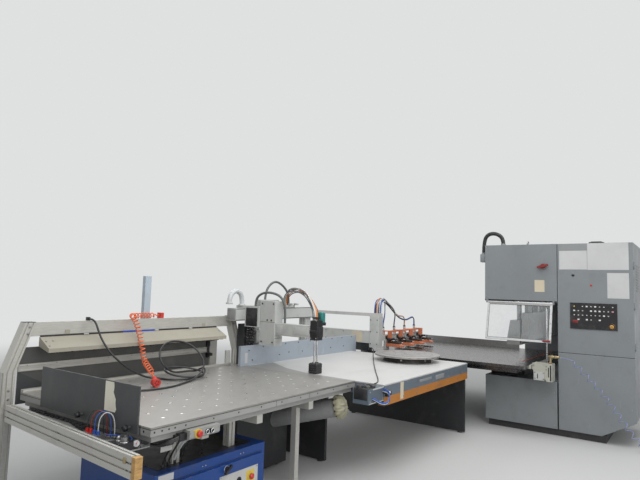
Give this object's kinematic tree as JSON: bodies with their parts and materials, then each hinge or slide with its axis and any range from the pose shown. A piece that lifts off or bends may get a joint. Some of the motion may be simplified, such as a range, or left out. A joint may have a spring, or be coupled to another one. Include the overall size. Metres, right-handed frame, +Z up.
{
  "type": "paper cutting machine",
  "caption": "Paper cutting line: an air table, a transfer table with turntable and pressing arm, a feed arm with grippers, and a tall C-frame cutter with its cutting table.",
  "frame": {"origin": "floor under the middle of the cutter housing, on the underside of its plinth", "axes": "+X along the line, from the air table past the cutter; +Y from the operator's side to the back; +Z up"},
  "size_m": [7.2754, 4.9489, 2.4221],
  "materials": {
    "plinth_black": "satin",
    "cabinet_grey": "satin",
    "frame_grey": "satin",
    "panel_black": "satin",
    "stop_red": "glossy",
    "stop_gold": "satin",
    "handle_red": "glossy",
    "rail_grey": "satin",
    "clear_pane": "clear",
    "steel": "brushed",
    "table_dark": "satin",
    "stick_plastic": "matte",
    "stand_grey": "satin",
    "conduit_black": "matte",
    "bracket_white": "satin",
    "hose_blue": "glossy",
    "sheet_white": "satin",
    "rim_blue_grey": "satin",
    "beam_orange": "satin",
    "leg_dark": "satin",
    "hub_brown": "satin",
    "disc_grey": "brushed",
    "fence_blue_grey": "satin",
    "box_blue_grey": "satin",
    "air_sheet": "brushed",
    "rim_light": "satin",
    "side_dark": "satin",
    "aluminium": "satin",
    "plug_wood": "matte",
    "valve_metal": "satin",
    "cover_cream": "satin",
    "post_light": "satin",
    "lead_orange": "satin",
    "connector_red": "glossy",
    "cable_black": "satin",
    "base_blue": "satin",
    "blower_black": "satin",
    "machine_light": "satin",
    "head_black": "satin",
    "jaw_orange": "satin"
  },
  "bodies": {
    "line": {"cutter_plinth": "plinth_black", "cutter_frame": "frame_grey", "hood_shell": "cabinet_grey", "control_cabinet": "cabinet_grey", "cutting_table": "table_dark", "cutting_stick": "stick_plastic", "cutting_table_stand": "stand_grey", "hood_conduit": "conduit_black", "end_bracket": "bracket_white", "air_hose": "hose_blue", "transfer_top": "sheet_white", "transfer_rim": "rim_blue_grey", "orange_beam": "beam_orange", "transfer_legs": "leg_dark", "turntable_hub": "hub_brown", "fence_plate": "fence_blue_grey", "junction_box": "box_blue_grey", "air_table_top": "air_sheet", "air_table_rim": "rim_light", "table_underframe": "aluminium", "side_plate": "side_dark", "stop_rail": "aluminium", "rail_plug": "plug_wood", "lower_deck": "leg_dark", "valve_unit": "valve_metal", "portal_frame": "aluminium", "portal_cover": "cover_cream", "rear_panel": "side_dark", "hose_post": "post_light", "orange_lead": "lead_orange", "lead_connector": "connector_red", "cable_run": "cable_black", "cable_coil": "cable_black", "operator_box": "rim_light", "lift_base": "base_blue", "air_blower": "blower_black", "transfer_frame": "leg_dark", "slide_beam": "machine_light", "feed_stand": "head_black", "signal_cable": "cable_black"},
    "guard": {"guard_frame": "rail_grey", "guard_pane": "clear_pane"},
    "clamp": {"clamp_beam": "steel"},
    "knife": {"knife_beam": "steel", "knife_blade": "steel"},
    "cabinet_door": {"control_door": "cabinet_grey", "control_panel": "panel_black"},
    "panel_button": {"panel_estop": "stop_gold"},
    "switch": {"main_switch": "handle_red"},
    "turntable": {"turntable_disc": "disc_grey"},
    "carriage": {"carriage_arm": "machine_light", "press_head": "head_black", "head_hoses": "cable_black"},
    "press": {"press_foot": "head_black"},
    "feed": {"feed_arm": "machine_light"},
    "jaws": {"gripper_jaws": "jaw_orange"},
    "table_button": {"box_estop": "stop_red"},
    "door": {"base_door": "base_blue"},
    "latch": {"base_latch": "panel_black"},
    "base_button": {"base_estop": "stop_red"}
  },
  "joints": [
    {"name": "guard_hinge", "type": "hinge", "parent": "line", "child": "guard", "pos_m": [-1.12, 0.395, 1.526], "axis": [0, 1, 0], "range_deg": [-12, 87]},
    {"name": "clamp_slide", "type": "slide", "parent": "line", "child": "clamp", "axis": [0, 0, 1], "range_m": [-0.199, 0]},
    {"name": "knife_slide", "type": "slide", "parent": "line", "child": "knife", "axis": [0, 0, 1], "range_m": [-0.209, 0]},
    {"name": "cabinet_door_hinge", "type": "hinge", "parent": "line", "child": "cabinet_door", "pos_m": [-1.078, -0.834, 1.2], "axis": [0, 0, 1], "range_deg": [0, 105]},
    {"name": "panel_button_press", "type": "slide", "parent": "cabinet_door", "child": "panel_button", "axis": [1, 0, 0], "range_m": [0, 0.006], "stiffness_N_per_m": 800},
    {"name": "main_switch_turn", "type": "hinge", "parent": "line", "child": "switch", "pos_m": [-1.11, 0.118, 1.972], "axis": [1, 0, 0], "range_deg": [0, 90]},
    {"name": "turntable_spin", "type": "hinge", "parent": "line", "child": "turntable", "pos_m": [-2.02, 1.455, 0.86], "axis": [0, 0, 1], "continuous": true},
    {"name": "carriage_slide", "type": "slide", "parent": "line", "child": "carriage", "axis": [1, 0, 0], "range_m": [0, 1]},
    {"name": "press_slide", "type": "slide", "parent": "carriage", "child": "press", "axis": [0, 0, 1], "range_m": [0, 0.1]},
    {"name": "feed_slide", "type": "slide", "parent": "line", "child": "feed", "axis": [0, 1, 0], "range_m": [-1.1, 0]},
    {"name": "jaw_slide", "type": "slide", "parent": "feed", "child": "jaws", "axis": [0, 0, 1], "range_m": [-0.042, 0]},
    {"name": "table_button_press", "type": "slide", "parent": "line", "child": "table_button", "axis": [0, 1, 0], "range_m": [0, 0.006], "stiffness_N_per_m": 800},
    {"name": "door_hinge", "type": "hinge", "parent": "line", "child": "door", "pos_m": [-5.69, 1.309, 0.2], "axis": [0, 0, 1], "range_deg": [-100, 0]},
    {"name": "latch_turn", "type": "hinge", "parent": "door", "child": "latch", "pos_m": [-5.128, 1.31, 0.342], "axis": [0, 1, 0], "range_deg": [0, 90]},
    {"name": "base_button_press", "type": "slide", "parent": "door", "child": "base_button", "axis": [0, 1, 0], "range_m": [0, 0.006], "stiffness_N_per_m": 800}
  ]
}
